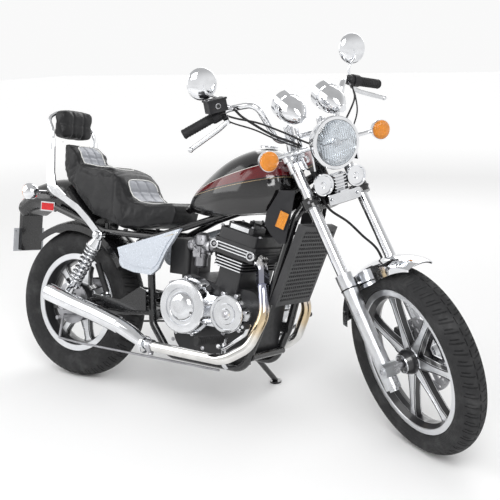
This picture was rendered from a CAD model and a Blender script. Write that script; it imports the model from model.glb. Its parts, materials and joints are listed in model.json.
"""Looks of a middleweight cruiser motorcycle that leans on its side stand.

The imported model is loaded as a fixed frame. Each of its nodes gets a procedural finish, and what
the solids leave out is added as numpy surfaces: tyre tread, coil springs, padded seats, lamp
glass, dials, bolts, cables and trim. Sizes are in millimetres in the machine's own frames, and
a form given for the left side mostly gets its mirror image on the right.
"""

from __future__ import annotations

import json
import logging
import math
from collections.abc import Callable
from dataclasses import dataclass, field
from enum import Enum
from typing import Union

import bmesh
import bpy
import numpy as np
from mathutils import Matrix, Vector
from mathutils.bvhtree import BVHTree

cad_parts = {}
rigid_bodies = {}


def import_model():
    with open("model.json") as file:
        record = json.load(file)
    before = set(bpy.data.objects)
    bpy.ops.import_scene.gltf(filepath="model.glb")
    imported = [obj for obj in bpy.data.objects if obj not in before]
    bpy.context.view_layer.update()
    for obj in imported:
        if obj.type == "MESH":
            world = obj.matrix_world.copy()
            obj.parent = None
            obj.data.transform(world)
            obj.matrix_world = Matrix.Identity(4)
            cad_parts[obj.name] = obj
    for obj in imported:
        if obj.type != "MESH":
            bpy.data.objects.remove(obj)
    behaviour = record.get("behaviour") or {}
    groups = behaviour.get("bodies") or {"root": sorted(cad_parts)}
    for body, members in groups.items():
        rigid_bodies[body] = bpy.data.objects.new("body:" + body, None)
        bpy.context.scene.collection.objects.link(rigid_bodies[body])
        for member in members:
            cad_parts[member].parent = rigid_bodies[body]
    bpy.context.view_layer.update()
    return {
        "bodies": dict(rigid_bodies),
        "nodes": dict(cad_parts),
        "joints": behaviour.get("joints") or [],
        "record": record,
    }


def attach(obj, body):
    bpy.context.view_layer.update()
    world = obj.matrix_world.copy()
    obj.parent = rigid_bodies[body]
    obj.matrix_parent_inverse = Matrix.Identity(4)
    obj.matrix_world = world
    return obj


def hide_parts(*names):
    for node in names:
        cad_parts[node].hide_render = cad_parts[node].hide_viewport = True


LOG = logging.getLogger("cruiser")
MM = 0.001
FULL_TURN = 2 * math.pi
SIDES = (-1, 1)
O, X, Y, Z = (0.0, 0.0, 0.0), (1.0, 0.0, 0.0), (0.0, 1.0, 0.0), (0.0, 0.0, 1.0)
BACK, RIGHT = (-1.0, 0.0, 0.0), (0.0, -1.0, 0.0)
BARE_ALLOY = (0.72, 0.73, 0.75)

Triple = tuple[float, float, float]
Place = Union[Triple, np.ndarray]
Profile = Union[list[tuple[float, float]], np.ndarray]
Material = bpy.types.Material
Mesh = bpy.types.Mesh
Object = bpy.types.Object
Socket = bpy.types.NodeSocket
Value = Union[Socket, float, Triple]


class Body(Enum):
    """The bodies that a piece can ride on."""

    CHASSIS = "chassis"
    STEERING = "steering"
    FRONT_WHEEL = "front_wheel"
    REAR_WHEEL = "rear_wheel"


class Head(Enum):
    """The heads that a screw can have: its sides, and its profile in shares of its radius."""

    HEX = (6, ((0, 1), (0.7, 1), (0.82, 0.86), (0.82, 0)))
    SOCKET = (20, ((0, 1), (0.85, 1), (1, 0.88), (1, 0.55), (0.45, 0.5), (0.45, 0)))
    BUTTON = (24, ((0, 1), (0.3, 0.96), (0.55, 0.75), (0.66, 0.45), (0.66, 0.4), (0.3, 0.38), (0.3, 0)))


def turning(axis: Triple, angle: float) -> np.ndarray:
    """A turn about an axis by the rule of Rodrigues: I + sin(a) K + (1 - cos(a)) K².

    Args:
        axis: The unit axis.
        angle: The angle in degrees.

    Returns:
        The 3×3 matrix.
    """
    x, y, z = axis
    skew = np.array([[0, -z, y], [z, 0, -x], [-y, x, 0]], float)
    a = math.radians(angle)
    return np.eye(3) + math.sin(a) * skew + (1 - math.cos(a)) * skew @ skew


def unit(rows: np.ndarray) -> np.ndarray:
    """The vectors at length one."""
    return rows / np.maximum(np.linalg.norm(rows, axis=-1, keepdims=True), 1e-12)


def step(edge: float, width: float, values: np.ndarray) -> np.ndarray:
    """A smooth rise from 0 to 1 round an edge: 3t² - 2t³ with t held between 0 and 1."""
    t = np.clip((values - edge) / width + 0.5, 0, 1)
    return t * t * (3 - 2 * t)


def groove(values: np.ndarray, place: float, width: float = 4.5, deep: float = 4.2) -> np.ndarray:
    """A sewn channel's depth: d exp(-((v - p)/w)²)."""
    return deep * np.exp(-((values - place) / width) ** 2)


def around(radius: float, angles: Place | range) -> np.ndarray:
    """Places round the y axis, in line with angles in degrees: (r cos a, 0, r sin a)."""
    a = np.radians(np.array(angles, float))
    return np.stack([np.cos(a), 0 * a, np.sin(a)], 1) * radius


def spline(points: list[Triple], count: int) -> np.ndarray:
    """A smooth path through points: a Catmull-Rom cubic on each span, all spans at once.

    Args:
        points: The points that the path goes through.
        count: How many points each span gets.

    Returns:
        The path's points.
    """
    p = np.array(points, float)
    p = np.vstack([2 * p[:1] - p[1:2], p, 2 * p[-1:] - p[-2:-1]])
    t = np.linspace(0, 1, count, endpoint=False)[None, :, None]
    a, b, c, e = (p[i:len(p) - 3 + i][:, None] for i in range(4))
    path = 0.5 * (2 * b + (c - a) * t + (2 * a - 5 * b + 4 * c - e) * t ** 2
                  + (3 * b - a - 3 * c + e) * t ** 3)
    return np.vstack([path.reshape(-1, 3), p[-2:-1]])


def arc(start: tuple, through: tuple, end: tuple, count: int) -> np.ndarray:
    """Points of the circle through three points of a plane: c + r exp(ia), c by the chord's ratio.

    Args:
        start: The first point.
        through: A point between them.
        end: The last point.
        count: How many points.

    Returns:
        The points.
    """
    a, b, c = (complex(*p) for p in (start, through, end))
    w = (c - a) / (b - a)
    centre = (b - a) * (w - abs(w) ** 2) / (2j * w.imag) + a
    first, mid, last = (np.angle(p - centre) for p in (a, b, c))
    sweep = (last - first) % FULL_TURN
    if (mid - first) % FULL_TURN > sweep:
        sweep -= FULL_TURN
    ring = centre + abs(a - centre) * np.exp(1j * (first + sweep * np.linspace(0, 1, count)))
    return np.stack([ring.real, ring.imag], 1)


def link(name: str, data: bpy.types.ID) -> Object:
    """Links data to the scene as a new object at the origin.

    Args:
        name: The object's name.
        data: Its data.

    Returns:
        The object.
    """
    obj = bpy.data.objects.new(name, data)
    bpy.context.scene.collection.objects.link(obj)
    return obj


def dress(mesh: Mesh, *finishes: Material) -> None:
    """Makes these materials the mesh's only ones, and its faces smooth.

    Args:
        mesh: The mesh.
        *finishes: The materials.
    """
    mesh.materials.clear()
    for finish in finishes:
        mesh.materials.append(finish)
    mesh.polygons.foreach_set("use_smooth", np.ones(len(mesh.polygons), bool))


def merge(mesh: Mesh, distance: float, outwards: bool) -> None:
    """Merges a mesh's doubles.

    Args:
        mesh: The mesh.
        distance: How near doubles lie, in metres.
        outwards: Whether the faces are turned outwards too.
    """
    shell = bmesh.new()
    shell.from_mesh(mesh)
    bmesh.ops.remove_doubles(shell, verts=shell.verts, dist=distance)
    if outwards:
        bmesh.ops.recalc_face_normals(shell, faces=shell.faces)
    shell.to_mesh(mesh)
    shell.free()


def vectors(mesh: Mesh, name: str) -> np.ndarray:
    """Reads the vertices of a mesh.

    Args:
        mesh: The mesh.
        name: What is read: "co" for their places or "normal" for their normals.

    Returns:
        One row for each vertex.
    """
    values = np.empty(len(mesh.vertices) * 3, np.float32)
    mesh.vertices.foreach_get(name, values)
    return values.reshape(-1, 3).astype(float)


def move(mesh: Mesh, points: np.ndarray) -> None:
    """Puts the vertices at new places."""
    mesh.vertices.foreach_set("co", points.astype(np.float32).ravel())
    mesh.update()


def apply_modifier(obj: Object, modifier: bpy.types.Modifier) -> None:
    """Bakes an object's modified shape into a new mesh and drops the modifier.

    Args:
        obj: The object.
        modifier: Its only modifier.
    """
    graph = bpy.context.evaluated_depsgraph_get()
    mesh = bpy.data.meshes.new_from_object(obj.evaluated_get(graph), depsgraph=graph)
    obj.modifiers.remove(modifier)
    mesh.name = obj.data.name
    obj.data = mesh


@dataclass(frozen=True)
class Space:
    """A frame of the machine: its axes as columns and its origin in metres, in the row frame."""

    turn: np.ndarray
    origin: np.ndarray

    def place(self, points: Place) -> np.ndarray:
        """Points given in millimetres, in the row frame and in metres."""
        return self.origin + np.asarray(points, float) * MM @ self.turn.T

    def local(self, points: Place) -> np.ndarray:
        """Points of the row frame in this frame, in millimetres."""
        return (np.asarray(points, float) - self.origin) @ self.turn / MM

    def child(self, offset: Place, turn: np.ndarray | None = None) -> Space:
        """A frame that stands at an offset in this one, turned if asked."""
        return Space(self.turn if turn is None else self.turn @ turn, self.place(offset))


@dataclass
class Machine:
    """The machine's frames, found from its joints: upright, steered straight, fork and wheels."""

    frame: dict
    rear_radius: float = 316.0
    front_radius: float = 331.0
    wheelbase: float = 1529.0
    trail: float = 127.4
    rake: float = 31.48
    steer: float = 37.85

    def __post_init__(self) -> None:
        """Works out the frames: the axle and the ground give the upright one, the steering axis the rest."""
        rear = next(joint for joint in self.frame["joints"] if joint["name"] == "rear_wheel_spin")
        across = unit(np.array(rear["axis"]))
        along = unit(np.array(X) - across * across[0])
        turn = np.stack([along, across, np.cross(along, across)], 1)
        self.upright = Space(turn, np.array(rear["pos_m"]) - turn[:, 2] * self.rear_radius * MM)
        rake = math.radians(self.rake)
        steering = turning((-math.sin(rake), 0, math.cos(rake)), -self.steer)
        ground = np.array([self.wheelbase + self.trail, 0, 0])
        self.straight = self.upright.child(ground - steering @ ground, steering)
        self.fork = self.straight.child(ground, turning(Y, -self.rake))
        self.front = self.straight.child((self.wheelbase, 0, self.front_radius))
        self.rear = self.upright.child((0, 0, self.rear_radius))
        self.block = self.upright.child((820, 0, 574), turning(Y, 11.5))


@dataclass
class Form:
    """Surfaces collected into one piece, in millimetres; round each, the columns meet."""

    points: list[np.ndarray] = field(default_factory=list)
    quads: list[np.ndarray] = field(default_factory=list)
    tones: list[np.ndarray] = field(default_factory=list)
    count: int = 0

    def grid(self, surface: np.ndarray, tone: int = 0) -> None:
        """Adds a surface given as a grid of points.

        Args:
            surface: An array of rows, columns and coordinates; the last column joins the first.
            tone: The index of its finish.
        """
        rows, columns = surface.shape[:2]
        index = np.arange(rows * columns).reshape(rows, columns) + self.count
        index = np.hstack([index, index[:, :1]])
        quads = np.stack([index[:-1, :-1], index[:-1, 1:], index[1:, 1:], index[1:, :-1]], -1)
        self.points.append(surface.reshape(-1, 3))
        self.quads.append(quads.reshape(-1, 4))
        self.tones.append(np.full(len(self.quads[-1]), tone))
        self.count += rows * columns

    def join(self, other: Form, rule: Callable[[np.ndarray], np.ndarray]) -> None:
        """Adds another form.

        Args:
            other: The form.
            rule: Where each of its points goes.
        """
        self.points += [rule(points) for points in other.points]
        self.quads += [quads + self.count for quads in other.quads]
        self.tones += other.tones
        self.count += other.count

    def twin(self) -> None:
        """Adds the mirror image of everything so far: y becomes -y."""
        so_far = Form(list(self.points), list(self.quads), list(self.tones), self.count)
        self.join(so_far, lambda points: points * (1, -1, 1))

    def lathe(self, profile: Profile, centre: Place, axis: Place = Y, sides: int = 32,
              tone: int = 0) -> None:
        """Adds a turned form: centre + t axis + r (cos(a) side + sin(a) up) for each pair (t, r).

        Args:
            profile: Pairs of distance along the axis and radius.
            centre: Where the axis starts.
            axis: The direction of the axis.
            sides: How many columns go round.
            tone: The index of its finish.
        """
        line = unit(np.array(axis, float))
        side = unit(np.cross(Z if abs(line[2]) < 0.9 else X, line))
        p = np.array(profile, float)
        a = np.linspace(0, FULL_TURN, sides, endpoint=False)[:, None]
        ring = np.cos(a) * side + np.sin(a) * np.cross(line, side)
        self.grid(np.array(centre, float) + p[:, :1, None] * line + p[:, 1:, None] * ring, tone)

    def sweep(self, path: np.ndarray, radius: float, sides: int = 10, tone: int = 0, up: Triple = Z,
              closed: bool = False) -> None:
        """Adds a round bar: path + r (cos(a) side + sin(a) tall), side square to the path and to up.

        Args:
            path: The points of its middle.
            radius: Its radius.
            sides: How many columns go round.
            tone: The index of its finish.
            up: A direction that is never along the path.
            closed: Whether the path comes back to its start; its ends are closed if not.
        """
        last = len(path)
        run = np.roll(path, -1, 0) - np.roll(path, 1, 0) if closed else np.gradient(path, axis=0)
        side = unit(np.cross(unit(run), np.array(up, float)))
        tall = np.cross(side, unit(run))
        order = np.arange(last + 1) % last if closed else np.arange(-1, last + 1).clip(0, last - 1)
        size = np.full(len(order), float(radius))
        if not closed:
            size[[0, -1]] = 0
        a = np.linspace(0, FULL_TURN, sides, endpoint=False)[None, :, None]
        ring = np.cos(a) * side[order, None] + np.sin(a) * tall[order, None]
        self.grid(path[order, None] + ring * size[:, None, None], tone)

    def box(self, centre: Place, half: Triple, tone: int = 0, turn: np.ndarray | None = None) -> None:
        """Adds a box: four corners carried from a pole at its foot to a pole at its top.

        Args:
            centre: Its middle.
            half: Half its sizes.
            tone: The index of its finish.
            turn: Its axes, or None for the frame's own.
        """
        corners = np.array([(1, 1), (-1, 1), (-1, -1), (1, -1)], float)
        rows = [np.column_stack([corners * wide, np.full(4, lift)])
                for wide, lift in ((0, -1), (1, -1), (1, 1), (0, 1))]
        surface = np.stack(rows) * half @ (np.eye(3) if turn is None else turn.T)
        self.grid(surface + np.array(centre, float), tone)

    def screw(self, centre: Place, axis: Place, radius: float, head: Head = Head.HEX,
              tone: int = 0) -> None:
        """Adds a screw's head on a washer a third wider than it.

        Args:
            centre: The middle of its seat.
            axis: The direction out of the surface.
            radius: The head's radius.
            head: The kind of head.
            tone: The index of its finish.
        """
        r = radius
        self.lathe([(-1, 0), (-1, r * 1.35), (r * 0.12, r * 1.35), (r * 0.2, r * 1.25), (r * 0.2, 0)],
                   centre, axis, 20, tone)
        sides, profile = head.value
        self.lathe(np.array(profile) * r, centre, axis, sides, tone)

    def piece(self, name: str, space: Space, finishes: list[Material], body: Body = Body.CHASSIS,
              replaced: str = "", slot: str = "", crease: float = 35.0) -> None:
        """Turns the surfaces into an object that rides on a body, its seams and poles merged.

        Args:
            name: The object's name.
            space: The frame that the points are given in.
            finishes: The materials, by tone.
            body: The body that it rides on.
            replaced: The node that it stands for, if any.
            slot: The slot of the record that it belongs to, if it stands for a node.
            crease: The angle in degrees past which an edge stays sharp.
        """
        co = space.place(np.vstack(self.points)).astype(np.float32)
        quads = np.vstack(self.quads).astype(np.int32)
        mesh = bpy.data.meshes.new(name)
        mesh.vertices.add(len(co))
        mesh.vertices.foreach_set("co", co.ravel())
        mesh.loops.add(quads.size)
        mesh.loops.foreach_set("vertex_index", quads.ravel())
        mesh.polygons.add(len(quads))
        mesh.polygons.foreach_set("loop_start", np.arange(0, quads.size, 4, dtype=np.int32))
        dress(mesh, *finishes)
        mesh.polygons.foreach_set("material_index", np.concatenate(self.tones).astype(np.int32))
        mesh.update(calc_edges=True)
        merge(mesh, 2e-6, True)
        mesh.set_sharp_from_angle(angle=math.radians(crease))
        obj = link(name, mesh)
        if replaced:
            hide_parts(replaced)
        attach(obj, body.value)
        LOG.info("%s: %d faces on %s", name, len(mesh.polygons), body.value)


class Graph:
    """Shader nodes under construction, in a material or in the world."""

    def __init__(self, tree: bpy.types.NodeTree, output: str) -> None:
        """Starts from one output of the Texture Coordinate node."""
        self.nodes, self.links = tree.nodes, tree.links
        self.where = self.node("TexCoord")[output]

    def put(self, socket: Socket, value: Value) -> None:
        """Links a source to a socket, or sets its value, a colour's with an alpha of 1.

        Args:
            socket: The socket.
            value: The source, or the value.
        """
        if isinstance(value, Socket):
            self.links.new(value, socket)
        else:
            socket.default_value = (*value, 1) if socket.type == "RGBA" else value

    def node(self, kind: str, inputs: dict[int | str, Value] | None = None,
             **settings: str) -> bpy.types.bpy_prop_collection:
        """Adds a node.

        Args:
            kind: What follows ShaderNode in its type.
            inputs: Sources or values, by the input's name or number.
            **settings: Its options.

        Returns:
            Its outputs.
        """
        node = self.nodes.new("ShaderNode" + kind)
        for name, value in settings.items():
            setattr(node, name, value)
        for key, value in (inputs or {}).items():
            self.put(node.inputs[key], value)
        return node.outputs

    def math(self, kind: str, a: Value, b: Value = 0.0) -> Socket:
        """One sum on numbers: the named operation on a and b."""
        return self.node("Math", {0: a, 1: b}, operation=kind)[0]

    def times(self, a: Value, b: Value) -> Socket:
        """The product of a and b."""
        return self.math("MULTIPLY", a, b)

    def wave(self, value: Value, length: float) -> Socket:
        """The sine of 2π value / length."""
        return self.math("SINE", self.times(value, FULL_TURN / length))

    def reach(self, a: Value, b: Value) -> Socket:
        """The root of a² + b²."""
        return self.math("SQRT", self.math("ADD", self.times(a, a), self.times(b, b)))

    def axes(self) -> list[Socket]:
        """The three coordinates in metres."""
        return list(self.node("SeparateXYZ", {0: self.where}))

    def noise(self, scale: float, detail: float = 4, along: Triple | None = None) -> Socket:
        """Cloudy noise.

        Args:
            scale: Its features for each metre.
            detail: How many finer layers it has.
            along: How the coordinates are stretched first, if they are.

        Returns:
            The noise, from 0 to 1.
        """
        where = self.where
        if along:
            where = self.node("VectorMath", {0: where, 1: along}, operation="MULTIPLY")[0]
        return self.node("TexNoise", {"Scale": scale, "Detail": detail, "Vector": where})["Fac"]

    def cells(self, scale: float) -> Socket:
        """The distance to the nearest of many scattered points."""
        return self.node("TexVoronoi", {"Scale": scale, "Vector": self.where})["Distance"]

    def rise(self, value: Socket, low: float, high: float, start: float = 0.0,
             end: float = 1.0) -> Socket:
        """A smooth change from start to end as the value goes from low to high."""
        return self.node("MapRange", {"Value": value, "From Min": low, "From Max": high, "To Min": start,
                                      "To Max": end}, interpolation_type="SMOOTHSTEP")["Result"]

    def band(self, value: Socket, low: float, high: float, soft: float) -> Socket:
        """1 between low and high, with soft edges, and 0 elsewhere."""
        return self.times(self.rise(value, low - soft, low + soft),
                          self.rise(value, high - soft, high + soft, 1, 0))

    def mix(self, share: Value, a: Value, b: Value) -> Socket:
        """A colour between a and b."""
        return self.node("Mix", {0: share, 6: a, 7: b}, data_type="RGBA")[2]

    def line(self, x: Socket, z: Socket, start: tuple[float, float], end: tuple[float, float]) -> Socket:
        """How far a point of the side view lies above a straight line: z - z0 - s (x - x0).

        Args:
            x: The point's place along the machine.
            z: Its height.
            start: One point of the line, in millimetres.
            end: Another one.

        Returns:
            The distance in metres.
        """
        slope = (end[1] - start[1]) / (end[0] - start[0])
        run = self.times(self.math("SUBTRACT", x, start[0] * MM), slope)
        return self.math("SUBTRACT", z, self.math("ADD", run, start[1] * MM))


class Recipe(Graph):
    """A material under construction, its patterns on the Object coordinates of a frame."""

    def __init__(self, name: str, space: Space | None = None) -> None:
        """Starts a material.

        Args:
            name: The material's name.
            space: The frame of the patterns, or None for the row frame.
        """
        self.material = bpy.data.materials.new(name)
        self.material.use_nodes = True
        super().__init__(self.material.node_tree, "Object")
        self.shader = self.nodes["Principled BSDF"]
        if space is not None:
            turn = Matrix(space.turn.tolist()).to_euler()
            self.where = self.node("Mapping", {"Vector": self.where, "Location": space.origin.tolist(),
                                               "Rotation": turn}, vector_type="TEXTURE")["Vector"]

    def set(self, **values: Value) -> None:
        """Sets or feeds the shader's own sockets; underscores stand for spaces."""
        for name, value in values.items():
            self.put(self.shader.inputs[name.replace("_", " ")], value)

    def mottle(self, cloud: Socket, low: float, high: float, under: Triple, over: Triple) -> None:
        """Mixes the base colour of two where a cloud goes from low to high."""
        self.set(Base_Color=self.mix(self.rise(cloud, low, high), under, over))

    def tint(self, share: Socket, colour: Value) -> None:
        """Lays a share of a colour over the base colour so far."""
        base = self.shader.inputs["Base Color"].links[0].from_socket
        self.set(Base_Color=self.mix(share, base, colour))

    def bare(self, share: Socket) -> None:
        """Bares polished alloy where the share is 1."""
        self.tint(share, BARE_ALLOY)
        self.set(Metallic=share)

    def bump(self, height: Socket, depth: float, strength: float = 1.0) -> None:
        """Raises the surface by a pattern, on top of what already raises it.

        Args:
            height: The pattern.
            depth: Its depth in metres.
            strength: Its strength.
        """
        normal = self.node("Bump", {"Strength": strength, "Distance": depth, "Height": height})["Normal"]
        old = self.shader.inputs["Normal"].links
        if old:
            self.links.new(old[0].from_socket, normal.node.inputs["Normal"])
        self.set(Normal=normal)


@dataclass(frozen=True)
class Metal:
    """A metal finish: its colour, its polish and how uneven it is."""

    colour: Triple
    rough: float = 0.1
    uneven: float = 0.05
    pits: float = 0.0
    brushed: float = 0.0
    shade: float = 0.9

    def make(self, name: str, space: Space | None = None) -> Recipe:
        """Metal with smudged gloss, a little colour change, cast pits and brushed lines.

        Args:
            name: The material's name.
            space: The frame of its patterns.

        Returns:
            The recipe.
        """
        recipe = Recipe(name, space)
        cloud = recipe.noise(22, 5)
        recipe.mottle(cloud, 0.35, 0.65, tuple(c * self.shade for c in self.colour), self.colour)
        smudge = recipe.rise(cloud, 0.3, 0.7, self.rough, self.rough + self.uneven)
        fine = recipe.rise(recipe.noise(160, 3), 0.5, 0.8, 0, self.uneven * 0.5)
        recipe.set(Metallic=1.0, Roughness=recipe.math("ADD", smudge, fine))
        if self.pits:
            recipe.bump(recipe.noise(900, 2), self.pits)
        if self.brushed:
            recipe.bump(recipe.noise(60, 3, (1, 1, 40)), self.brushed)
        return recipe


@dataclass(frozen=True)
class Paint:
    """A painted or lacquered finish under a clear coat."""

    colour: Triple
    rough: float = 0.35
    coat: float = 0.6
    peel: float = 0.00002
    shade: float = 0.7

    def make(self, name: str, space: Space | None = None) -> Recipe:
        """Paint with a faint orange peel, a clear coat and dust in its gloss.

        Args:
            name: The material's name.
            space: The frame of its patterns.

        Returns:
            The recipe.
        """
        recipe = Recipe(name, space)
        recipe.mottle(recipe.noise(14, 4), 0.3, 0.7, tuple(c * self.shade for c in self.colour), self.colour)
        recipe.set(Coat_Weight=self.coat, Coat_Roughness=0.06,
                   Roughness=recipe.rise(recipe.noise(70, 4), 0.3, 0.8, self.rough, self.rough + 0.12))
        if self.peel:
            recipe.bump(recipe.noise(420, 2), self.peel)
        return recipe


@dataclass(frozen=True)
class Moulded:
    """Moulded rubber, plastic or vinyl: its grain is a field of small cells."""

    colour: Triple
    rough: float
    grain: float
    cells: float
    dust: float

    def make(self, name: str, space: Space | None = None) -> Recipe:
        """A dull surface with leathery cells, worn pale where dust lies.

        Args:
            name: The material's name.
            space: The frame of its patterns.

        Returns:
            The recipe.
        """
        recipe = Recipe(name, space)
        pale = tuple(c + (0.25 - c) * self.dust for c in self.colour)
        recipe.mottle(recipe.noise(18, 6), 0.45, 0.8, self.colour, pale)
        recipe.set(Specular_IOR_Level=0.3,
                   Roughness=recipe.rise(recipe.noise(60, 4), 0.3, 0.7, self.rough, self.rough + 0.15))
        recipe.bump(recipe.cells(self.cells), self.grain)
        return recipe


@dataclass(frozen=True)
class Glass:
    """A clear or coloured lens, with moulded ribs if they have a width."""

    colour: Triple
    clear: float = 1.0
    rough: float = 0.03
    ribs: float = 0.0

    def make(self, name: str, space: Space | None = None) -> Recipe:
        """Glass with dust in its gloss and, if asked, ribs across it.

        Args:
            name: The material's name.
            space: The frame of its patterns.

        Returns:
            The recipe.
        """
        recipe = Recipe(name, space)
        cloud = recipe.noise(40, 4)
        recipe.mottle(cloud, 0.3, 0.7, tuple(c * 0.85 for c in self.colour), self.colour)
        recipe.set(Transmission_Weight=self.clear, IOR=1.49,
                   Roughness=recipe.rise(cloud, 0.4, 0.8, self.rough, self.rough + 0.05))
        if self.ribs:
            recipe.bump(recipe.wave(recipe.axes()[1], self.ribs), self.ribs * 0.12)
        return recipe


class Workshop:
    """All the finishes of the machine: the plain ones made once, the patterned ones when asked."""

    finishes: dict[str, Metal | Paint | Moulded | Glass] = {
        "chrome": Metal((0.83, 0.84, 0.86), 0.04, 0.04),
        "satin_chrome": Metal((0.66, 0.67, 0.69), 0.2, 0.08),
        "steel": Metal((0.5, 0.5, 0.52), 0.25, 0.1, brushed=0.00006),
        "polished_alloy": Metal((0.74, 0.75, 0.77), 0.12, 0.08),
        "brushed_alloy": Metal((0.62, 0.63, 0.65), 0.26, 0.1, brushed=0.00008),
        "cast_alloy": Metal((0.4, 0.4, 0.42), 0.42, 0.12, pits=0.0002, shade=0.7),
        "mirror": Metal((0.8, 0.83, 0.86), 0.01, 0.01),
        "gloss_black": Paint((0.008, 0.008, 0.009), 0.2, 0.5),
        "satin_black": Paint((0.015, 0.015, 0.017), 0.42, 0.1, 0.00005),
        "blank_plate": Paint((0.58, 0.6, 0.63), 0.4, 0.3, shade=0.92),
        "white_line": Paint((0.75, 0.75, 0.73), 0.35, 0.4, shade=0.9),
        "rubber": Moulded((0.013, 0.013, 0.014), 0.5, 0.0001, 1400, 0.06),
        "plastic": Moulded((0.012, 0.012, 0.014), 0.36, 0.00006, 1800, 0.04),
        "amber_lens": Glass((1.0, 0.36, 0.03), 0.35, 0.08, 0.004),
        "red_lens": Glass((0.75, 0.015, 0.02), 0.25, 0.08, 0.004),
        "clear_glass": Glass((0.96, 0.98, 1.0), 1.0, 0.01),
    }

    def __init__(self, machine: Machine) -> None:
        """Makes the plain finishes.

        Args:
            machine: The machine, whose frames the lenses' ribs follow.
        """
        self.machine = machine
        frames = {"amber_lens": machine.straight, "red_lens": machine.upright}
        self.plain = {name: finish.make(name, frames.get(name)).material
                      for name, finish in self.finishes.items()}

    def tyre(self, name: str, space: Space, radius: float) -> Material:
        """Tyre rubber with a fine ring pattern on the sidewall.

        Args:
            name: The material's name.
            space: The wheel's frame.
            radius: The tyre's radius.

        Returns:
            The material.
        """
        recipe = Moulded((0.018, 0.018, 0.019), 0.62, 0.00008, 1600, 0.12).make(name, space)
        x, _, z = recipe.axes()
        reach = recipe.reach(x, z)
        side = recipe.rise(reach, (radius - 22) * MM, (radius - 26) * MM)
        recipe.bump(recipe.times(recipe.wave(reach, 0.006), side), 0.0003)
        return recipe.material

    def wheel(self, name: str, space: Space, bead: float, half: float) -> Material:
        """Black cast wheel: the spokes' raised edges and the rim's lips are polished bare.

        Args:
            name: The material's name.
            space: The wheel's frame.
            bead: The radius of the rim's bead.
            half: Half the rim's width.

        Returns:
            The material.
        """
        recipe = Paint((0.014, 0.014, 0.016), 0.3, 0.5).make(name, space)
        x, y, z = recipe.axes()
        reach, aside = recipe.reach(x, z), recipe.math("ABSOLUTE", y)
        lip = recipe.times(recipe.rise(reach, (bead - 12) * MM, (bead - 10) * MM),
                           recipe.rise(aside, (half - 3) * MM, (half - 2) * MM))
        edge = recipe.times(recipe.band(aside, 9.7 * MM, 12 * MM, 0.0002),
                            recipe.rise(reach, (bead - 24) * MM, (bead - 20) * MM, 1, 0))
        recipe.bare(recipe.math("MAXIMUM", lip, edge))
        return recipe.material

    def tank(self) -> Material:
        """Gloss black with a flecked dark red flash, a white upper line and a tan lower line.

        Returns:
            The material.
        """
        recipe = Paint((0.006, 0.0055, 0.006), 0.1, 0.6, 0.00001).make("tank_paint", self.machine.upright)
        x, y, z = recipe.axes()
        low, high = (recipe.line(x, z, (560, start), (985, end)) for start, end in ((806, 905), (812, 962)))
        side = recipe.rise(recipe.math("ABSOLUTE", y), 0.03, 0.032)
        flash = recipe.times(recipe.rise(low, -0.0006, 0.0006), recipe.rise(high, -0.0006, 0.0006, 1, 0))
        fleck = recipe.rise(recipe.cells(900), 0.15, 0.3, 1, 0)
        red = recipe.mix(fleck, (0.09, 0.004, 0.006), (0.3, 0.02, 0.015))
        for share, colour in ((flash, red), (recipe.band(high, 0.0, 0.0022, 0.0005), (0.62, 0.6, 0.56)),
                              (recipe.band(low, -0.0075, -0.006, 0.0004), (0.42, 0.3, 0.16))):
            recipe.tint(recipe.times(share, side), colour)
        return recipe.material

    def panel(self) -> Material:
        """Silver blue side covers with a thin gold line round the raised part.

        Returns:
            The material.
        """
        recipe = Paint((0.55, 0.59, 0.65), 0.2, 0.8, 0.0, 0.96).make("panel_paint", self.machine.upright)
        recipe.set(Metallic=0.35)
        x, y, z = recipe.axes()
        line = recipe.band(recipe.line(x, z, (318, 583), (560, 655)), -0.0015, 0.0015, 0.0004)
        face = recipe.rise(recipe.math("ABSOLUTE", y), 0.155, 0.1555)
        recipe.tint(recipe.times(line, face), (0.5, 0.36, 0.12))
        return recipe.material

    def fins(self, name: str, low: float, high: float, aside: float) -> Material:
        """Satin black castings whose fins are polished along their outer edges.

        Args:
            name: The material's name.
            low: Where the fins start, along the cylinders.
            high: Where they end.
            aside: How far out their edges lie.

        Returns:
            The material.
        """
        recipe = Paint((0.018, 0.018, 0.02), 0.42, 0.2, 0.00012).make(name, self.machine.block)
        _, y, z = recipe.axes()
        outer = recipe.rise(recipe.math("ABSOLUTE", y), (aside - 1.2) * MM, (aside - 0.8) * MM)
        recipe.bare(recipe.times(recipe.band(z, low * MM, high * MM, 0.0005), outer))
        return recipe.material

    def pipes(self) -> Material:
        """Chromed pipes that have turned straw and blue near the engine.

        Returns:
            The material.
        """
        recipe = Metal((0.8, 0.79, 0.77), 0.07, 0.05).make("header_chrome", self.machine.upright)
        warm = recipe.math("ADD", recipe.axes()[2], recipe.times(recipe.noise(30, 4), 0.05))
        for low, high, soft, share, colour in ((0.36, 0.47, 0.04, 0.75, (0.62, 0.44, 0.2)),
                                               (0.46, 0.6, 0.03, 0.6, (0.22, 0.24, 0.4))):
            recipe.tint(recipe.times(recipe.band(warm, low, high, soft), share), colour)
        return recipe.material

    def vinyl(self) -> Material:
        """Black seat vinyl: a fine leathery grain, soft creases and a dull sheen.

        Returns:
            The material.
        """
        vinyl = Moulded((0.01, 0.01, 0.011), 0.34, 0.0002, 700, 0.04)
        recipe = vinyl.make("seat_vinyl", self.machine.upright)
        recipe.set(Sheen_Weight=0.04, Sheen_Roughness=0.4)
        recipe.bump(recipe.noise(26, 3), 0.0012, 0.5)
        return recipe.material

    def bolster(self) -> Material:
        """Silvery quilted vinyl of the bolsters.

        Returns:
            The material.
        """
        vinyl = Moulded((0.3, 0.31, 0.34), 0.3, 0.00012, 900, 0.1)
        recipe = vinyl.make("bolster_vinyl", self.machine.upright)
        recipe.set(Metallic=0.35)
        return recipe.material

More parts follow.
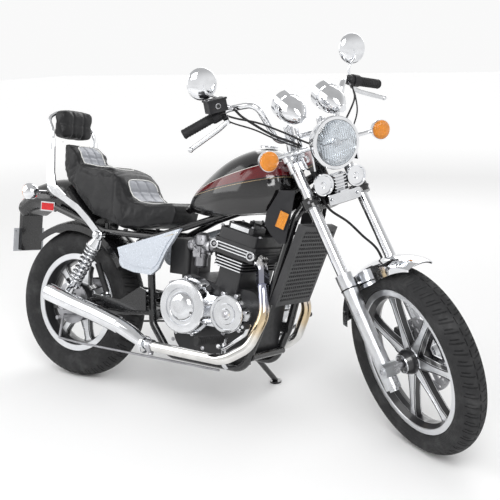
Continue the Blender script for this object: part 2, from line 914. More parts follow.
    def carburettor(self) -> Material:
        """Grey cast bodies in front of a black moulded air box.

        Returns:
            The material.
        """
        metal = Metal((0.4, 0.4, 0.42), 0.4, 0.12, pits=0.0002, shade=0.7)
        recipe = metal.make("carburettor_alloy", self.machine.upright)
        box = recipe.rise(recipe.axes()[0], 0.5998, 0.5993)
        recipe.tint(box, (0.012, 0.012, 0.013))
        recipe.set(Metallic=recipe.math("SUBTRACT", 1.0, box))
        return recipe.material

    def core(self) -> Material:
        """Radiator core: upright tubes with fine fins between them.

        Returns:
            The material.
        """
        slope = self.machine.upright.child((1022, 0, 440), turning(Y, 18))
        recipe = Paint((0.03, 0.03, 0.032), 0.5, 0.1).make("radiator_black", slope)
        x, y, z = recipe.axes()
        mesh = recipe.math("MAXIMUM", recipe.wave(y, 0.011), recipe.wave(z, 0.003))
        recipe.bump(recipe.times(mesh, recipe.rise(x, -0.006, -0.009)), 0.0008)
        return recipe.material


@dataclass
class Assembly:
    """A sub-assembly of the machine."""

    machine: Machine
    shop: Workshop

    def tones(self, *names: str) -> list[Material]:
        """The plain finishes of these names."""
        return [self.shop.plain[name] for name in names]


@dataclass(frozen=True)
class Tyre:
    """A tyre whose crown carries paired hooked grooves and a broken centre groove."""

    radius: float
    width: float
    shoulder: float
    drop: float
    bead: float
    flange: float
    bead_width: float
    hooks: int
    depth: float = 4.5
    wall: float = 12.0
    rows: int = 1200
    crown_points: int = 45

    def section(self) -> tuple[np.ndarray, np.ndarray]:
        """The section's loop and how far each point lies along the crown.

        The outer line is a foot, an arc bulging to the shoulder, the crown's arc and the same
        back; the inner line is the outer one drawn in by the wall.

        Returns:
            Pairs of sideways place and radius, and the crown length, NaN off the crown.
        """
        half, edge, foot = self.width / 2, self.shoulder / 2, self.bead_width / 2
        rim, wall, lip, ends = self.radius - self.drop, self.wall, self.flange + 0.3, self.crown_points + 2
        waist = (rim + self.flange) / 2
        outer = arc((foot, lip), (half, waist), (edge, rim), 9)
        crown = arc((edge, rim), (0, self.radius), (-edge, rim), ends)[1:-1]
        inner = arc((wall - edge, rim - wall), (0, self.radius - wall), (edge - wall, rim - wall), 7)
        side = arc((foot - wall, lip), (half - wall, waist), (edge - wall, rim - wall), 4)
        loop = np.vstack([[[foot, self.bead]], outer, crown, outer[::-1] * (-1, 1), [[-foot, self.bead]],
                          [[wall - foot, self.bead]], side[:-1] * (-1, 1), inner, side[-2::-1],
                          [[foot - wall, self.bead]]])
        across = np.full(len(loop), np.nan)
        first = 1 + len(outer)
        across[first:first + len(crown)] = np.linspace(1, -1, ends)[1:-1] * math.hypot(edge, self.drop)
        return loop, across

    def tread(self, along: np.ndarray, across: np.ndarray) -> np.ndarray:
        """How deep the tread is cut, from 0 to 1, at places along and across the crown.

        A hook is the curve along = 15 t^1.7, t the share of the way from the middle to the
        shoulder; its groove is where the distance to that curve is under half a groove's width.

        Args:
            along: Lengths round the tyre.
            across: Lengths from the middle of the crown.

        Returns:
            The share of the depth.
        """
        pitch = FULL_TURN * self.radius / self.hooks
        reach = math.hypot(self.shoulder / 2, self.drop)
        cut = np.zeros(np.broadcast(along, across).shape)
        for sign in SIDES:
            t = np.clip(sign * across / reach, 0, 1)
            drift = along - 15 * t ** 1.7 + (0.5 * pitch if sign > 0 else 0)
            for shift, first, last, half in ((0.0, 0.12, 1.02, 2.1), (0.36, 0.34, 0.86, 1.7)):
                gap = np.abs((drift - shift * pitch) % pitch - pitch / 2)
                long = step(first, 0.05, t) * (1 - step(last, 0.05, t))
                cut = np.maximum(cut, (1 - step(half, 1.5, gap)) * long)
        dash = np.abs((along % pitch) - pitch / 2)
        return np.maximum(cut, (1 - step(1.5, 1.3, np.abs(across))) * (1 - step(pitch * 0.34, 1.5, dash)))

    def form(self) -> Form:
        """Turns the section about the axle, (r cos a, side, r sin a), and cuts the tread into it.

        Returns:
            The form.
        """
        loop, across = self.section()
        a = np.linspace(0, FULL_TURN, self.rows + 1)[:, None]
        cut = np.zeros((len(a), len(loop)))
        crown = ~np.isnan(across)
        cut[:, crown] = self.tread(a * self.radius, across[crown][None, :]) * self.depth
        cut[-1], a[-1] = cut[0], 0
        reach = loop[None, :, 1] - cut
        side = np.broadcast_to(loop[None, :, 0], reach.shape)
        form = Form()
        form.grid(np.stack([reach * np.cos(a), side, reach * np.sin(a)], -1))
        return form


@dataclass
class Wheels(Assembly):
    """Both tyres, with their tread cut in."""

    front: Tyre = Tyre(331, 104, 88, 22, 241.3, 253, 58, 58)
    rear: Tyre = Tyre(316, 140, 120, 28, 190.5, 207, 92, 50)

    def build(self) -> None:
        """Builds the tyres."""
        machine = self.machine
        for end, tyre, space, body in (("front", self.front, machine.front, Body.FRONT_WHEEL),
                                       ("rear", self.rear, machine.rear, Body.REAR_WHEEL)):
            rubber = self.shop.tyre(f"{end}_rubber", space, tyre.radius)
            tyre.form().piece(f"{end}_tread", space, [rubber], body, f"{end}_tyre", "tyre", 50)


@dataclass
class Suspension(Assembly):
    """The coil springs of the rear shock absorbers."""

    low: Triple = (40.0, 150.0, 352.0)
    top: Triple = (205.0, 150.0, 622.0)
    start: float = 78.0
    length: float = 176.0
    turns: int = 8
    radius: float = 24.5
    wire: float = 4.5

    def build(self) -> None:
        """Winds each spring: a helix about the damper, its pitch eased to nothing at the ends."""
        form = Form()
        line = unit(np.subtract(self.top, self.low))
        t = np.linspace(0, 1, self.turns * 40 + 1)[:, None]
        climb = t + np.sin(FULL_TURN * t) * -0.035
        a = t * (self.turns + 1) * FULL_TURN
        coil = (line * (self.start + self.wire) + climb * (self.length - 2 * self.wire) * line
                + self.radius * (np.cos(a) * np.cross(Y, line) + np.sin(a) * np.array(Y)))
        for side in SIDES:
            form.sweep(coil + np.array(self.low) * (1, side, 1), self.wire, 12, 0, tuple(line))
        form.piece("coil_springs", self.machine.upright, self.tones("satin_chrome"), Body.CHASSIS,
                   "shock_springs", "chrome", 60)


@dataclass(frozen=True)
class Quilt:
    """A quilted face of the seat: its middle, half sizes, depth range and sewn lines."""

    level: float
    half: float
    tall: float
    back: float
    front: float
    across: tuple[float, ...]
    up: tuple[float, ...]

    def holds(self, x: np.ndarray, y: np.ndarray, z: np.ndarray) -> np.ndarray:
        """1 at points inside |y/w|⁴ + |(z - c)/h|⁴ = 1 and in its depth range, and 0 elsewhere."""
        shape = np.abs(y / self.half) ** 4 + np.abs((z - self.level) / self.tall) ** 4
        return ((shape < 1) & (x > self.back) & (x < self.front)).astype(float)

    def channels(self, x: np.ndarray, y: np.ndarray, z: np.ndarray) -> np.ndarray:
        """The depth of its sewn channels."""
        lines = sum(groove(y, place) for place in self.across) + sum(groove(z, place) for place in self.up)
        return lines * self.holds(x, y, z)

    def outline(self, count: int) -> np.ndarray:
        """Its outline in front of the seat: y = w cos, z = c + h sin, both to the power a half.

        Args:
            count: How many points.

        Returns:
            The points.
        """
        a = np.linspace(0, FULL_TURN, count, endpoint=False)
        bend = [np.sign(wave) * np.abs(wave) ** 0.5 for wave in (np.cos(a), np.sin(a))]
        return np.stack([np.full(count, 400.0), self.half * bend[0], self.level + self.tall * bend[1]], 1)


@dataclass
class Seating(Assembly):
    """The stepped seat and the backrest pad, as padded covers with seams, piping and quilting."""

    voxel: float = 0.006
    cap: float = 0.007
    pressure: float = 4.0
    frames: int = 20
    quilts: tuple[Quilt, ...] = (
        Quilt(806, 88, 46, 100, 340, (-30, 30), (806,)),
        Quilt(932, 66, 44, -90, 70, (-22, 22), (932,)),
    )

    def swell(self, node: Object, name: str, inset: float, rounds: int) -> Object:
        """Makes a padded copy of a solid: remeshed, rounded, drawn in and blown up as cloth.

        Args:
            node: The solid's object.
            name: The piece's name.
            inset: How far it is drawn in first, in metres.
            rounds: How often it is smoothed.

        Returns:
            The copy.
        """
        mesh = node.data.copy()
        mesh.name = name
        merge(mesh, 1e-5, False)
        obj = link(name, mesh)
        for kind, values in (("REMESH", {"mode": "VOXEL", "voxel_size": self.voxel}),
                             ("SMOOTH", {"factor": 0.7, "iterations": rounds})):
            modifier = obj.modifiers.new(kind.title(), kind)
            for key, value in values.items():
                setattr(modifier, key, value)
            apply_modifier(obj, modifier)
        start = vectors(obj.data, "co") - vectors(obj.data, "normal") * inset
        move(obj.data, start)
        cloth = obj.modifiers.new("Cloth", "CLOTH")
        cloth.settings.use_pressure = True
        cloth.settings.uniform_pressure_force = self.pressure
        cloth.settings.effector_weights.gravity = 0
        scene = bpy.context.scene
        scene.frame_start, scene.frame_end = 1, self.frames
        for frame in range(1, self.frames + 1):
            scene.frame_set(frame)
        apply_modifier(obj, cloth)
        scene.frame_set(1)
        moved = vectors(obj.data, "co") - start
        far = np.linalg.norm(moved, axis=1, keepdims=True)
        move(obj.data, start + moved * np.minimum(1, self.cap / np.maximum(far, 1e-9)))
        return obj

    def cover(self, obj: Object, cut: np.ndarray, node: str, fill: float, *finishes: Material) -> None:
        """Args:
            obj: The copy.
            cut: How deep each vertex goes in along its normal.
            node: The solid's name.
            fill: How much of it is padding.
            *finishes: Its materials.
        """
        move(obj.data, vectors(obj.data, "co") - vectors(obj.data, "normal") * cut[:, None] * MM)
        modifier = obj.modifiers.new("Subdivision", "SUBSURF")
        modifier.levels = modifier.render_levels = 1
        apply_modifier(obj, modifier)
        dress(obj.data, *finishes)
        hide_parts(node)
        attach(obj, Body.CHASSIS.value)
        LOG.info("%s: %d faces on the chassis", obj.name, len(obj.data.polygons))

    def build(self, nodes: dict[str, Object]) -> None:
        """Builds the seat with its seams and silver bolsters, then the backrest pad.

        Args:
            nodes: The solids by name.
        """
        vinyl, space = self.shop.vinyl(), self.machine.upright
        seat = self.swell(nodes["seat"], "padded_seat", 0.004, 6)
        x, y, z = space.local(vectors(seat.data, "co")).T
        cut = sum(quilt.channels(x, y, z) for quilt in self.quilts)
        for place, deep in ((232.0, 3.0), (-4.0, 2.4)):
            cut += groove(x - 0.1 * np.abs(y), place, 5.0, deep) * (z > 700)
        for place in (118.0, 40.0):
            cut += groove(x, place, deep=2.4) * (z > 800) * (np.abs(y) < 95)
        self.cover(seat, cut, "seat", 0.8, vinyl, self.shop.bolster())
        self.silver(seat.data)
        self.piping(seat.data)
        pad = self.swell(nodes["backrest_pad"], "padded_backrest", 0.003, 4)
        x, y, z = space.local(vectors(pad.data, "co")).T
        cut = sum(groove(y, place, deep=4.4) for place in (-31.0, 31.0)) * (np.abs(z - 1065) < 56)
        cut += groove(z, 1065, deep=4.4) * (np.abs(y) < 90)
        self.cover(pad, cut * step(-128, 12, x), "backrest_pad", 0.85, vinyl)

    def silver(self, mesh: Mesh) -> None:
        """Gives the second finish to the faces of the quilts that look ahead.

        Args:
            mesh: The finished seat.
        """
        space = self.machine.upright
        centres, normals = (np.empty(len(mesh.polygons) * 3) for _ in range(2))
        mesh.polygons.foreach_get("center", centres)
        mesh.polygons.foreach_get("normal", normals)
        place = space.local(centres.reshape(-1, 3))
        ahead = normals.reshape(-1, 3) @ space.turn[:, 0] > 0.15
        tone = sum(quilt.holds(*place.T) for quilt in self.quilts) * ahead
        mesh.polygons.foreach_set("material_index", tone.astype(np.int32))
        mesh.update()

    def piping(self, mesh: Mesh) -> None:
        """Lays pale piping on the seat, along each quilt's outline.

        Args:
            mesh: The finished seat, which each point of an outline is dropped onto.
        """
        space = self.machine.upright
        tree = BVHTree.FromPolygons([tuple(p) for p in vectors(mesh, "co")],
                                    [tuple(p.vertices) for p in mesh.polygons])
        form = Form()
        way = Vector((-space.turn[:, 0]).tolist())
        for quilt in self.quilts:
            hits = [tree.ray_cast(Vector(p.tolist()), way)[0] for p in space.place(quilt.outline(120))]
            path = space.local(np.array([tuple(h) for h in hits if h is not None]))
            near = path[:, 0] > quilt.back - 12
            form.sweep(path[near] + (1.2, 0, 0), 2.4, 8, 0, (1, 0.01, 0.01), bool(near.all()))
        form.piece("seat_piping", space, self.tones("white_line"))


@dataclass
class Cockpit(Assembly):
    """Dials, the brake line, control cables and the small parts of the handlebar and fork."""

    hose_radius: float = 4.5
    hose: tuple[Triple, ...] = ((988, -262, 1222), (1000, -240, 1204), (1008, -215, 1170),
                                (1068, -150, 1100), (1124, -66, 1035), (1150, -60, 960),
                                (1180, -60, 885), (1204, -46, 820), (1216, 12, 758), (1228, 56, 695),
                                (1259, 88, 640))
    tail: tuple[Triple, ...] = ((-70, 89, 318), (-78, 92, 250), (-84, 88, 178), (-92, 68, 128))
    cables: tuple[tuple[float, tuple[Triple, ...]], ...] = (
        (3.4, ((958, -262, 1188), (1000, -236, 1172), (1062, -190, 1150), (1112, -130, 1108),
               (1146, -70, 1062), (1170, -38, 1040))),
        (2.8, ((950, -276, 1182), (996, -250, 1158), (1060, -204, 1128), (1112, -146, 1080),
               (1150, -82, 1040), (1172, -44, 1020))),
        (3.4, ((958, 262, 1188), (1010, 240, 1166), (1078, 196, 1146), (1124, 132, 1106),
               (1150, 72, 1064), (1172, 40, 1040))),
        (2.8, ((950, 276, 1180), (992, 256, 1140), (1056, 214, 1096), (1112, 150, 1056),
               (1150, 84, 1030), (1174, 46, 1016))),
    )

    def dials(self) -> None:
        """Lays a black face with white marks and an orange needle under each gauge's glass."""
        form, straight = Form(), self.machine.straight
        face = Form()
        face.lathe([(0.04, 0), (0.04, 46), (0.12, 46), (0.12, 0)], O, Z, 64)
        for k, angle in enumerate(np.linspace(-135, 135, 28)):
            turn, long = turning(Z, angle), 8 if k % 3 == 0 else 4
            face.box(turn[:, 0] * (43 - long / 2) + (0, 0, 0.16), (long / 2, 0.6, 0.03), 1, turn)
        face.box((-13, 13, 0.23), (20, 0.9, 0.02), 2, turning(Z, 135))
        face.lathe([(0.12, 0), (0.12, 5), (0.27, 5), (0.27, 0)], O, Z, 20)
        for side in SIDES:
            seat = straight.child((1067, side * 80, 1193), turning(Y, -67))
            form.join(face, lambda points: straight.local(seat.place(points)))
        form.piece("gauge_dials", straight, self.tones("plastic", "white_line", "amber_lens"), Body.STEERING)

    def brake_line(self) -> None:
        """Runs the hose from the master cylinder to the caliper on one smooth curve, with unions."""
        fork, straight = self.machine.fork, self.machine.straight
        axle = fork.local(self.machine.front.origin) * (1, 0, 1)
        tail = straight.local(fork.place(axle + np.array(self.tail)))
        path = spline([*self.hose, *tail], 14)
        form = Form()
        form.sweep(path, self.hose_radius, 12, 0, (0.3, 0.1, 0.2))
        for end, along in ((path[0], path[3] - path[0]), (path[-1], path[-4] - path[-1])):
            form.lathe([(-3, 0), (-3, 6), (0, 7), (14, 7), (18, 5.4), (24, 5.4), (24, 0)], end, along, 18, 1)
        form.screw((988, -266, 1222), Y, 8, Head.HEX, 1)
        form.piece("brake_line", straight, self.tones("rubber", "steel"), Body.STEERING, "brake_hose",
                   "rubber")

    def control_cables(self) -> None:
        """Runs the throttle, clutch and switch cables from the pods into the back of the headlamp."""
        form = Form()
        for radius, route in self.cables:
            form.sweep(spline(route, 12), radius, 10, 0, (0.2, 0.1, 1))
            form.lathe([(-4, 0), (-4, 4.6), (14, 4.6), (18, 3.6), (18, 0)], route[0],
                       np.subtract(route[1], route[0]), 16, 1)
        form.piece("control_cables", self.machine.straight, self.tones("rubber", "steel"), Body.STEERING)

    def bar_fittings(self) -> None:
        """Adds grip ends and ribs, riser caps, and the reservoir's lid screws and sight glass."""
        form = Form()
        inner, end = np.array([(958, 246, 1206), (915, 408, 1153)], float)
        way = unit(end - inner)
        form.lathe([(-2, 0), (-2, 17.6), (2, 18.4), (6, 17), (8, 12), (8, 0)], end, way)
        for k in range(9):
            form.lathe([(0, 16.5), (1, 18), (4, 18), (5, 16.5)], end - way * (16 + 10 * k), way)
        form.lathe([(0, 17.4), (3, 17.4), (5, 15), (5, 0)], (1042, 68, 1104), Z, 28, 1)
        form.screw((1042, 68, 1109), Z, 6, Head.SOCKET, 1)
        form.twin()
        for x in (968, 1003):
            for y in (-330, -273):
                form.screw((x, y, 1256.4), Z, 3.4, Head.BUTTON, 2)
        sight = (1008.5, -302, 1232)
        form.lathe([(-2, 0), (-2, 10), (1.6, 10), (2.4, 9), (2.4, 7.4), (1.2, 7)], sight, X, 28, 2)
        form.lathe([(-1, 0), (-1, 7.2), (1.4, 7), (2.2, 0)], sight, X, 24, 3)
        form.piece("handlebar_fittings", self.machine.straight,
                   self.tones("rubber", "chrome", "steel", "clear_glass"), Body.STEERING)

    def fork_fittings(self) -> None:
        """Adds the fork's caps, clamp screws and dust seals, and the steering stem's nut."""
        form, top = Form(), (38, 100, 1168)
        form.lathe([(-1, 0), (-1, 20.4), (2.5, 20.4), (4.5, 18.5), (4.5, 0)], top, Z, 40)
        form.lathe([(4, 11), (9, 11), (10, 9.6), (10, 0)], top, Z, 6)
        for level in (972.5, 1151):
            for way in SIDES:
                form.screw((64.5, 100 + way * 20, level), (0, way, 0), 5, Head.SOCKET, 1)
        form.lathe([(0, 30.4), (3, 30.4), (5, 28), (5, 21)], (38, 100, 645), Z, 40, 2)
        form.twin()
        form.lathe([(0, 22), (3, 22), (4, 20), (4, 0)], (0, 0, 1164), Z, 36)
        form.lathe([(3, 17), (14, 17), (16, 15), (16, 0)], (0, 0, 1164), Z, 6)
        form.piece("fork_fittings", self.machine.fork, self.tones("chrome", "steel", "rubber"), Body.STEERING)

    def build(self) -> None:
        """Builds the cockpit's parts."""
        self.dials()
        self.brake_line()
        self.control_cables()
        self.bar_fittings()
        self.fork_fittings()


@dataclass
class Lamps(Assembly):
    """Headlamp glass and reflector, indicator screws, reflectors and plate bolts."""

    lamp: Triple = (1247.0, 0.0, 1048.0)
    glass_radius: float = 78.6
    tail: float = 86.0

    def headlamp(self) -> None:
        """Builds the fluted glass, the dome 14 (1 - r²/R²)^0.75 with ribs inside, and the bowl behind."""
        edge, form = self.glass_radius, Form()
        r = np.concatenate([np.linspace(0, edge, 44), np.linspace(edge, 0, 44)])[:, None]
        a = np.linspace(0, FULL_TURN, 180, endpoint=False)
        y, z = r * np.cos(a), r * np.sin(a)
        depth = 14 * (1 - np.minimum(r / (edge + 0.1), 1) ** 2) ** 0.75 + 0 * y
        ribs = np.cos(FULL_TURN * y / 8.5) * 0.9 * np.clip((78 - r) / 8, 0, 1)
        depth[44:] += ribs[44:] - 3.4
        form.grid(np.stack([depth, y, z], -1))
        space = self.machine.straight.child(self.lamp)
        form.piece("headlamp_glass", space, self.tones("clear_glass"), Body.STEERING, "headlight_lens",
                   "clear")
        bowl, t = Form(), np.linspace(0, 1, 20)
        bowl.lathe(np.stack([12 * t ** 2.4 - 13.4, 78.4 * t], 1), O, X, 96)
        bowl.lathe([(-12, 0), (-12, 15), (-3, 15), (1, 12), (2.5, 0)], O, X, 40, 1)
        bowl.box((-4, 0, 0), (1.2, 46, 1.5), 1)
        bowl.piece("headlamp_reflector", space, self.tones("mirror", "satin_chrome"), Body.STEERING)

    def screws(self) -> None:
        """Adds two screws on each lens and the bolts of the headlamp's ears."""
        front, rear = Form(), Form()
        for lift in (-22, 22):
            front.screw((1186, 228 + lift, 1034), X, 2.6, Head.BUTTON)
            rear.screw((-200, 165 + lift, 772), BACK, 2.6, Head.BUTTON)
        front.lathe([(0, 12), (3, 12), (5, 10), (5, 0)], (1186, 91.5, 1008), Y, 6)
        front.screw((1254, 52, 860), X, 4.5)
        front.twin()
        rear.twin()
        front.piece("front_lamp_screws", self.machine.straight, self.tones("chrome"), Body.STEERING)
        rear.piece("rear_lamp_screws", self.machine.upright, self.tones("chrome"))

    def reflectors(self) -> None:
        """Adds amber and red reflectors in their frames, the tail lamp's rim and the plate's bolts."""
        form, lean = Form(), turning(Y, 18)
        form.box((1030, 135.5, 749), (21, 2.5, 33), 3, lean)
        form.box((1030, 137.5, 749), (17.5, 2, 29.5), 0, lean)
        form.box((-150, self.tail, 712), (40, 7, 20), 2)
        form.box((-150, self.tail + 6, 712), (35, 2, 15), 1)
        form.screw((-353.3, 76, 590), BACK, 6, Head.HEX, 2)
        form.twin()
        form.lathe([(0, 33), (0, 37), (12, 38), (15, 36), (15, 33)], (-349.3, 0, 706), BACK, 56, 2)
        form.piece("reflectors_and_plate_bolts", self.machine.upright,
                   self.tones("amber_lens", "red_lens", "chrome", "plastic"))

    def build(self) -> None:
        """Builds the lamps' parts."""
        self.headlamp()
        self.screws()
        self.reflectors()


@dataclass
class Engine(Assembly):
    """Bolts and bosses of the covers, the head's caps, flange nuts and carburettor details."""

    clutch: Triple = (660.0, 0.0, 398.0)
    timing: Triple = (846.0, 0.0, 394.0)
    joint: float = 146.0
    bowl: Triple = (652.0, 72.0, 622.0)

    def covers(self) -> None:
        """Puts bosses with socket screws round each cover, rings on the timing cover and case bolts."""
        form = Form()
        for middle, radius, face, angles in ((self.clutch, 106, 174, range(12, 372, 40)),
                                             (self.timing, 75, 166, (-100, -45, 10, 65, 110))):
            long = face - self.joint
            for spot in around(radius, angles) + middle:
                form.lathe([(0, 0), (0, 8.5), (long - 1, 8), (long, 7), (long, 0)],
                           spot + (0, self.joint, 0), Y, 24)
                form.screw(spot + (0, face, 0), Y, 4.6, Head.SOCKET, 1)
        x, _, z = self.timing
        for radius, deep in ((60, 168), (46, 169), (30, 175)):
            form.lathe([(0, radius), (2.5, radius - 0.5), (2.5, radius - 3), (0, radius - 3.5)],
                       (x, deep, z), Y, 56)
        form.screw((x, 184, z), Y, 9, Head.HEX, 1)
        for x, z in ((585, 470), (560, 250), (700, 236), (800, 244), (912, 300)):
            form.screw((x, 96, z), Y, 6, Head.HEX, 1)
        form.twin()
        form.lathe([(0, 9), (6, 9), (10, 12), (20, 12), (22, 10), (22, 0)], (760, -150, 470), (0, -1, 0.4),
                   28, 2)
        form.piece("cover_bolts", self.machine.upright, self.tones("polished_alloy", "steel", "plastic"))

    def head(self) -> None:
        """Adds the bright caps with dark centres, cover screws and flange nuts, in the block's frame."""
        form = Form()
        for end in SIDES:
            spot = (end * 81, 137.5, 52)
            form.lathe([(0, 18), (3, 18), (4.5, 16.5), (4.5, 11.5), (1.2, 11)], spot, Y, 40)
            form.lathe([(0, 11.4), (1.6, 11), (1.6, 0)], spot, Y, 32, 2)
            form.screw((end * 81, 139, 52), Y, 4.5, Head.SOCKET, 1)
            for aside in (37, 105):
                form.screw((end * 44, aside, 146), Z, 5, Head.SOCKET, 1)
            form.screw((end * 84, 106, 122), Z, 6, Head.HEX, 1)
        form.box((0, 119.5, 134), (40, 3, 8))
        form.lathe([(0, 8), (16, 8), (18, 6), (34, 5), (34, 0)], (0, 40, 122), Z, 20, 2)
        for aside in (66, 110):
            form.lathe([(0, 0), (0, 6), (7, 6), (9, 4), (16, 4), (16, 0)], (104, aside, 44), X, 6, 1)
        form.twin()
        form.piece("head_fittings", self.machine.block, self.tones("polished_alloy", "steel", "plastic"))

    def carburettors(self) -> None:
        """Adds bowls, caps, screws, bands and the throttle linkage of the carburettors."""
        form = Form()
        x, y, z = self.bowl
        for c, _, s in around(1, (45, 135, 225, 315)):
            form.screw((x + 22 * c, y + 22 * s, 661), Z, 3, Head.BUTTON, 1)
            form.lathe([(0, 0), (0, 4), (12, 4), (12, 0)], (x + 27 * c, y + 27 * s, 576), Z, 12)
        for band in (x - 34, x + 40):
            form.lathe([(-5, 22), (-5, 25.5), (5, 25.5), (5, 22)], (band, y, z), X, 40, 1)
            form.box((band, y, z - 28), (4, 7, 4), 1)
        form.box((x, y + 32, 600), (16, 3, 20))
        form.lathe([(0, 9), (3, 9), (4, 7), (4, 0)], (x, y + 34, 604), Y, 28)
        form.screw((x + 8, y + 35, 586), Y, 3, Head.BUTTON, 1)
        form.sweep(spline([(x + 4, y + 38, 604), (x - 16, y + 40, 622), (x - 30, y + 34, 640)], 6), 3, 8, 1)
        form.sweep(spline([(x, y + 10, 540), (x - 6, y + 14, 500), (x - 20, y + 12, 450), (x - 22, y, 400)],
                          10), 3.2, 10, 2, Y)
        form.twin()
        form.sweep(np.array([(664.0, -104, 646), (664, 104, 646)]), 3.5, 10, 1)
        form.piece("carburettor_details", self.machine.upright, self.tones("cast_alloy", "steel", "rubber"))

    def build(self) -> None:
        """Builds the engine's parts."""
        self.covers()
        self.head()
        self.carburettors()


@dataclass
class Fittings(Assembly):
    """Bolts, clamps and ribs of the frame, the wheels, the exhaust and the footrests."""

    shock_top: Triple = (205, 162, 622)
    shock_foot: Triple = (40, 162, 352)
    axle: Triple = (0, 131, 316)
    clamp: Triple = (552, 220, 236)
    peg: tuple[Triple, Triple] = ((838, 158, 300), (800, 275, 300))

    def bolts(self) -> None:
        """Adds the shocks' domed nuts, the axle's nut, side cover screws and the silencers' clamps."""
        form = Form()
        form.lathe([(0, 0), (0, 23), (4, 23), (6, 21), (6, 17), (14, 16.5), (20, 13), (23, 6), (23.4, 0)],
                   self.shock_top, Y, 44)
        form.lathe([(0, 0), (0, 17), (3, 17), (3, 0)], self.shock_foot)
        form.screw(np.add(self.shock_foot, (0, 3, 0)), Y, 11, Head.HEX, 1)
        form.lathe([(0, 0), (0, 17), (9, 17), (11, 15), (11, 9), (17, 9), (18, 8), (18, 0)], self.axle,
                   Y, 6, 1)
        form.lathe([(-1, 0), (-1, 23), (3, 23), (3, 0)], np.subtract(self.axle, Y), Y, 40, 1)
        form.lathe([(-9, 20), (-9, 24), (-7, 25), (7, 25), (9, 24), (9, 20)], self.clamp, X, 48, 1)
        form.box(np.subtract(self.clamp, (0, 0, 28)), (8, 6, 6), 1)
        form.lathe([(-6, 31), (-6, 33.5), (6, 33.5), (6, 31)], (520, 220, 237), (1, 0, -0.1), 48)
        for x, z in ((344, 566), (470, 520), (586, 664)):
            form.screw((x, 154.2, z), Y, 4, Head.BUTTON)
        form.twin()
        for y in (214, -226):
            form.screw((552, y, 207), RIGHT, 4.5, Head.HEX, 1)
        form.piece("chassis_bolts", self.machine.upright, self.tones("chrome", "steel"))

    def pegs(self) -> None:
        """Ribs the footrests: their radius swings by 1.2 mm every 9 mm along the axis."""
        form, t = Form(), np.linspace(0, 1, 90)
        inner, outer = np.array(self.peg, float)
        way = unit(outer - inner)
        long = float(np.linalg.norm(outer - inner)) - 14
        wave = 15.6 + 1.2 * np.sign(np.sin(FULL_TURN * t * long / 9)) * (np.abs(t - 0.5) < 0.47)
        form.lathe(np.stack([t * long, wave], 1), inner + way * 14, way, 28)
        form.lathe([(-2, 15), (0, 18.5), (5, 18.5), (8, 15), (8, 0)], outer, way, 28)
        form.twin()
        form.piece("footrest_ribs", self.machine.upright, self.tones("rubber"))

    def hubs(self) -> None:
        """Adds the disc's screws and rivets, the hub's ring and the pulley's bolts."""
        front, rear = Form(), Form()
        for spot in around(34, range(0, 360, 60)) + (0, 53, 0):
            front.screw(spot, Y, 5.5, Head.BUTTON)
        for spot in around(86, range(0, 360, 60)) + (0, 53, 0):
            front.lathe([(0, 6), (1.5, 6), (2.2, 4), (2.2, 0)], spot, Y, 20)
        for spot in around(26, range(0, 360, 72)) - (0, 48, 0):
            front.screw(spot, RIGHT, 4)
        front.lathe([(0, 35), (2.5, 34), (2.5, 31), (0.5, 30)], (0, -48, 0), RIGHT, 56, 1)
        front.piece("front_hub_screws", self.machine.front, self.tones("steel", "polished_alloy"),
                    Body.FRONT_WHEEL)
        for spot in around(52, range(20, 380, 72)) + (0, 84, 0):
            rear.screw(spot, Y, 8)
        rear.piece("rear_hub_screws", self.machine.rear, self.tones("steel"), Body.REAR_WHEEL)

    def build(self) -> None:
        """Builds the fittings."""
        self.bolts()
        self.pegs()
        self.hubs()


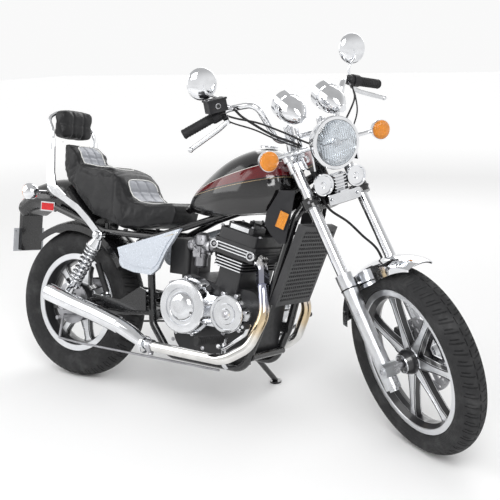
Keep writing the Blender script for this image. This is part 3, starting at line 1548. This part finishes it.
@dataclass
class Dresser(Assembly):
    """Gives each solid its finish, and its edges their smooth or sharp look."""

    angle: float = 32.0
    weld: float = 1e-5
    finishes: dict[str, str] = field(default_factory=lambda: {
        "steel": "front_disc front_axle rear_axle",
        "cast_alloy": "rear_pulley rear_brake",
        "chrome": "fork_tubes handlebar mirrors headlight_shell gauge_cups horns front_indicators"
                  " rear_indicators lamp_ears gauge_stalks front_fender shock_bodies silencers fuel_cap"
                  " sissy_bar",
        "satin_chrome": "shock_springs",
        "brushed_alloy": "fork_sliders",
        "polished_alloy": "upper_clamp levers badge_plate engine_covers foot_controls",
        "satin_black": "front_caliper engine_case",
        "rubber": "grips drive_belt foot_rubbers brake_hose front_tyre rear_tyre",
        "plastic": "hand_controls radiator_shrouds seat backrest_pad",
        "mirror": "mirror_glass",
        "clear_glass": "headlight_lens gauge_glass",
        "amber_lens": "front_indicators_lenses rear_indicators_lenses",
        "red_lens": "tail_lamp",
        "blank_plate": "number_plate",
    })

    def special(self, name: str) -> Material | None:
        """The finish of a solid that has a pattern of its own.

        Args:
            name: The solid's name.

        Returns:
            The finish, or None for a plain solid.
        """
        shop, machine = self.shop, self.machine
        makers = {
            "front_rim": lambda: shop.wheel("front_wheel_paint", machine.front, 241.3, 33.5),
            "rear_rim": lambda: shop.wheel("rear_wheel_paint", machine.rear, 190.5, 50.5),
            "engine_barrel": lambda: shop.fins("barrel_black", -40, 22, 141),
            "engine_head": lambda: shop.fins("head_black", 30, 78, 136),
            "fuel_tank": shop.tank, "side_covers": shop.panel, "exhaust_pipes": shop.pipes,
            "radiator": shop.core, "carburettors": shop.carburettor,
        }
        return makers[name]() if name in makers else None

    def build(self, nodes: dict[str, Object]) -> None:
        """Finishes each solid; what no finish names is gloss black.

        Args:
            nodes: The solids by name.
        """
        plain = {node: finish for finish, names in self.finishes.items() for node in names.split()}
        for name, obj in nodes.items():
            dress(obj.data, self.special(name) or self.shop.plain[plain.get(name, "gloss_black")])
            if "custom_normal" in obj.data.attributes:
                obj.data.attributes.remove(obj.data.attributes["custom_normal"])
            obj.modifiers.new("Weld", "WELD").merge_threshold = self.weld
            split = obj.modifiers.new("Edges", "EDGE_SPLIT")
            split.split_angle = math.radians(self.angle)
            split.use_edge_sharp = False


@dataclass
class Studio:
    """The camera of the photograph, a pale floor and soft lamps, these in metres."""

    machine: Machine
    place: Triple = (2511.29, -2733.68, 864.19)
    azimuth: float = 121.5585
    rise: float = -4.2855
    roll: float = -4.0612
    lens: float = 61.44
    floor_half: float = 30.0
    lamps: tuple[tuple[str, Triple, float, float], ...] = (("key", (2.5, -3.0, 3.5), 130, 2.2),
                                                           ("fill", (-2.5, -2.0, 2.5), 50, 3.0),
                                                           ("back", (-1.0, 3.5, 3.0), 50, 3.0))

    def camera(self) -> None:
        """Sets up the camera: its look from azimuth and rise, its top turned by the roll."""
        a, e, r = (math.radians(v) for v in (self.azimuth, self.rise, self.roll))
        look = np.array([math.cos(a) * math.cos(e), math.sin(a) * math.cos(e), math.sin(e)])
        right = unit(np.cross(look, Z))
        top = np.cross(right, look) * math.cos(r) + right * math.sin(r)
        upright = self.machine.upright
        turn = upright.turn @ np.stack([np.cross(look, top), top, -look], 1)
        data = bpy.data.cameras.new("photo_camera")
        data.lens, data.sensor_width, data.sensor_fit = self.lens, 36, "HORIZONTAL"
        data.shift_x, data.shift_y = -0.005, -0.0016
        obj = link("photo_camera", data)
        obj.matrix_world = (Matrix.Translation(upright.place(self.place).tolist())
                            @ Matrix(turn.tolist()).to_4x4())
        bpy.context.scene.camera = obj

    def floor(self) -> None:
        """Lays a pale floor that rays from the camera, metal and glass see turn white far away."""
        half = self.floor_half
        mesh = bpy.data.meshes.new("floor")
        mesh.from_pydata([(-half, -half, 0), (half, -half, 0), (half, half, 0), (-half, half, 0)], [],
                         [(0, 1, 2, 3)])
        recipe = Recipe("pale_floor")
        x, y, _ = recipe.axes()
        ray = recipe.node("LightPath")
        seen = recipe.math("MAXIMUM", ray["Is Camera Ray"],
                           recipe.math("MAXIMUM", ray["Is Glossy Ray"], ray["Is Transmission Ray"]))
        glow = recipe.times(seen, recipe.rise(recipe.reach(x, y), 1.6, 9.0, 0, 0.42))
        recipe.set(Base_Color=(0.9, 0.9, 0.9), Roughness=0.9, Emission_Color=(1.0, 1.0, 1.0),
                   Emission_Strength=glow)
        mesh.materials.append(recipe.material)
        link("floor", mesh)

    def light(self) -> None:
        """Lights the machine with a white world, darker towards its top, and large soft lamps."""
        world = bpy.data.worlds.new("studio")
        bpy.context.scene.world = world
        world.use_nodes = True
        sky = Graph(world.node_tree, "Generated")
        back = sky.nodes["Background"]
        sky.put(back.inputs["Color"], (1, 1, 1))
        sky.put(back.inputs["Strength"], sky.rise(sky.axes()[2], 0.1, 0.75, 0.95, 0.55))
        for name, place, watts, size in self.lamps:
            data = bpy.data.lights.new(name, "AREA")
            data.energy, data.size = watts, size
            obj = link(name, data)
            obj.location = place
            obj.rotation_euler = (Vector((0, 0, 0.6)) - obj.location).to_track_quat("-Z", "Y").to_euler()

    def build(self) -> None:
        """Sets up the camera, the floor, the lamps and the plain view transform."""
        self.camera()
        self.floor()
        self.light()
        bpy.context.scene.view_settings.view_transform = "Standard"


def main() -> None:
    """Loads the solids, dresses them, adds the pieces and notes both boxes' sizes."""
    logging.basicConfig(level=logging.INFO, format="%(name)s: %(message)s")
    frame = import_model()
    machine = Machine(frame)
    shop = Workshop(machine)
    nodes = frame["nodes"]
    Dresser(machine, shop).build(nodes)
    for assembly in (Wheels, Suspension, Cockpit, Lamps, Engine, Fittings):
        assembly(machine, shop).build()
    Seating(machine, shop).build(nodes)
    Studio(machine).build()


if __name__ == "__main__":
    main()
